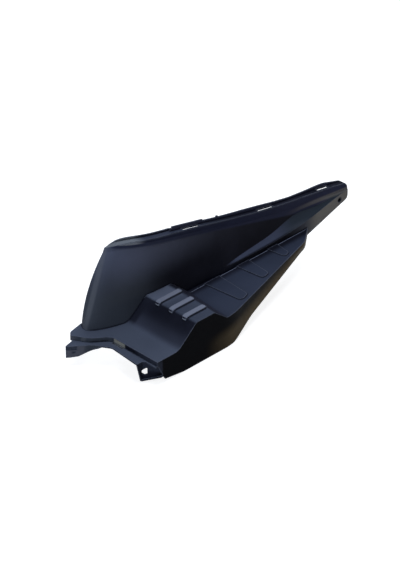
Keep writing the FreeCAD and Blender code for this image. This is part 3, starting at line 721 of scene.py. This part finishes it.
@dataclass(frozen=True)
class SoftLamp:
    """A square lamp that faces the object's middle, placed from there in metres."""

    name: str
    place: Place
    size: float
    power: float
    colour: Colour

    def hang(self, centre: Vector) -> None:
        """Makes the lamp.

        Args:
            centre: The object's middle.
        """
        data = bpy.data.lights.new(self.name, "AREA")
        data.size = self.size
        data.energy = self.power
        data.color = self.colour
        lamp = bpy.data.objects.new(self.name, data)
        lamp.location = centre + Vector(self.place)
        lamp.rotation_euler = (-Vector(self.place)).to_track_quat("-Z", "Y").to_euler()
        bpy.context.scene.collection.objects.link(lamp)
        LOG.info("lamp %s, %.1f W", self.name, self.power)


LAMPS = (
    SoftLamp("top", (0.0, 0.0, 2.6), size=1.4, power=48.0, colour=(0.84, 0.90, 1.0)),
    SoftLamp("key", (1.23, 1.23, 1.93), size=1.1, power=19.5, colour=(0.80, 0.88, 1.0)),
    SoftLamp("left", (-1.45, -0.25, 0.55), size=0.9, power=7.5, colour=(0.76, 0.85, 1.0)),
    SoftLamp("tip", (0.53, -0.51, -0.05), size=0.25, power=1.5, colour=(1.0, 0.88, 0.70)),
)


@dataclass
class Studio:
    """A pale floor, soft lamps and a white surround. Its sizes are in metres."""

    lowest: float
    centre: Vector
    lamps: tuple[SoftLamp, ...] = LAMPS
    floor_gap: float = MM
    floor_reach: float = 6.0
    floor_colour: Colour = (0.45, 0.45, 0.45)
    floor_roughness: float = 0.9
    floor_white: float = 0.86
    sky_colour: Colour = (0.77, 0.85, 1.0)
    sky_strength: float = 0.078
    background: Colour = (1.0, 1.0, 1.0)

    def build(self) -> None:
        """Makes the floor, the world and the lamps."""
        self.world()
        self.floor()
        for lamp in self.lamps:
            lamp.hang(self.centre)
        LOG.info("studio ready")

    def seen_directly(self, tree: Tree) -> Socket:
        """Adds the test for rays that should see the white background.

        Args:
            tree: A shader node tree.

        Returns:
            One where the ray comes from the camera, a gloss or a clear surface, and else nought.
        """
        path = tree.nodes.new("ShaderNodeLightPath")
        total = path.outputs["Is Camera Ray"]
        for name in ("Is Glossy Ray", "Is Transmission Ray"):
            more = tree.nodes.new("ShaderNodeMath")
            more.operation = "MAXIMUM"
            tree.links.new(total, more.inputs[0])
            tree.links.new(path.outputs[name], more.inputs[1])
            total = more.outputs[0]
        return total

    def world(self) -> None:
        """Makes a soft sky that the camera sees as white."""
        world = bpy.data.worlds.new("studio")
        bpy.context.scene.world = world
        world.use_nodes = True
        tree = world.node_tree
        light = tree.nodes["Background"]
        light.inputs["Color"].default_value = (*self.sky_colour, 1.0)
        light.inputs["Strength"].default_value = self.sky_strength
        white = tree.nodes.new("ShaderNodeBackground")
        white.inputs["Color"].default_value = (*self.background, 1.0)
        mix = tree.nodes.new("ShaderNodeMixShader")
        tree.links.new(self.seen_directly(tree), mix.inputs["Fac"])
        tree.links.new(light.outputs[0], mix.inputs[1])
        tree.links.new(white.outputs[0], mix.inputs[2])
        tree.links.new(mix.outputs[0], tree.nodes["World Output"].inputs["Surface"])

    def floor(self) -> None:
        """Makes the floor, which keeps the object's shadow and is white where it is seen."""
        mesh = bpy.data.meshes.new("floor")
        height = self.lowest - self.floor_gap
        places = [(self.centre.x + along * self.floor_reach, self.centre.y + inward * self.floor_reach,
                   height) for along, inward in ((-1, -1), (1, -1), (1, 1), (-1, 1))]
        mesh.from_pydata(places, [], [(0, 1, 2, 3)])
        floor = bpy.data.objects.new("floor", mesh)
        bpy.context.scene.collection.objects.link(floor)
        mesh.materials.append(self.floor_paint())
        floor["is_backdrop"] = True

    def floor_paint(self) -> bpy.types.Material:
        """Builds the floor's paint.

        Returns:
            A matt paint with a white added to it for the rays that see it directly.
        """
        paint = bpy.data.materials.new("floor_paint")
        paint.use_nodes = True
        tree = paint.node_tree
        matt = tree.nodes["Principled BSDF"]
        matt.inputs["Base Color"].default_value = (*self.floor_colour, 1.0)
        matt.inputs["Roughness"].default_value = self.floor_roughness
        matt.inputs["Specular IOR Level"].default_value = 0.0
        white = tree.nodes.new("ShaderNodeEmission")
        white.inputs["Strength"].default_value = self.floor_white
        both = tree.nodes.new("ShaderNodeAddShader")
        tree.links.new(matt.outputs[0], both.inputs[0])
        tree.links.new(white.outputs[0], both.inputs[1])
        mix = tree.nodes.new("ShaderNodeMixShader")
        tree.links.new(self.seen_directly(tree), mix.inputs["Fac"])
        tree.links.new(matt.outputs[0], mix.inputs[1])
        tree.links.new(both.outputs[0], mix.inputs[2])
        tree.links.new(mix.outputs[0], tree.nodes["Material Output"].inputs["Surface"])
        return paint


@dataclass
class ViewCamera:
    """The camera at the photograph's angle.

    Its target is in millimetres from the frame's origin, its tilt and turn are in degrees, and its
    distance and reach are in metres.
    """

    target: Place = (105.59, -28.56, 138.8)
    tilt: float = 32.0
    turn: float = 45.0
    distance: float = 4.0
    lens: float = 148.6
    reach: float = 100.0

    def build(self) -> None:
        """Makes the camera and hands it to the scene."""
        data = bpy.data.cameras.new("view")
        data.lens = self.lens
        data.clip_end = self.reach
        camera = bpy.data.objects.new("view", data)
        tilt = math.radians(self.tilt)
        turn = math.radians(self.turn)
        level = math.cos(tilt)
        back = Vector((-level * math.cos(turn), -level * math.sin(turn), math.sin(tilt)))
        right = Vector((0.0, 0.0, 1.0)).cross(back).normalized()
        facing = Matrix((right, back.cross(right), back)).transposed().to_4x4()
        place = Vector(self.target) * MM + back * self.distance
        camera.matrix_world = Matrix.Translation(place) @ facing
        bpy.context.scene.collection.objects.link(camera)
        bpy.context.scene.camera = camera
        LOG.info("camera %.1f mm", self.lens)


def main() -> None:
    """Builds the scene around the frame."""
    logging.basicConfig(level=logging.INFO, format="%(name)s: %(message)s")
    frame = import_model()
    cad_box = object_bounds()
    bpy.context.scene.view_settings.view_transform = "Standard"
    shell = Shell(frame["nodes"]["footboard"])
    MouldedBeads(shell.corner, shell.dress()).build()
    low, high = cad_box
    Studio(lowest=low.z, centre=(low + high) / 2).build()
    ViewCamera().build()


if __name__ == "__main__":
    main()
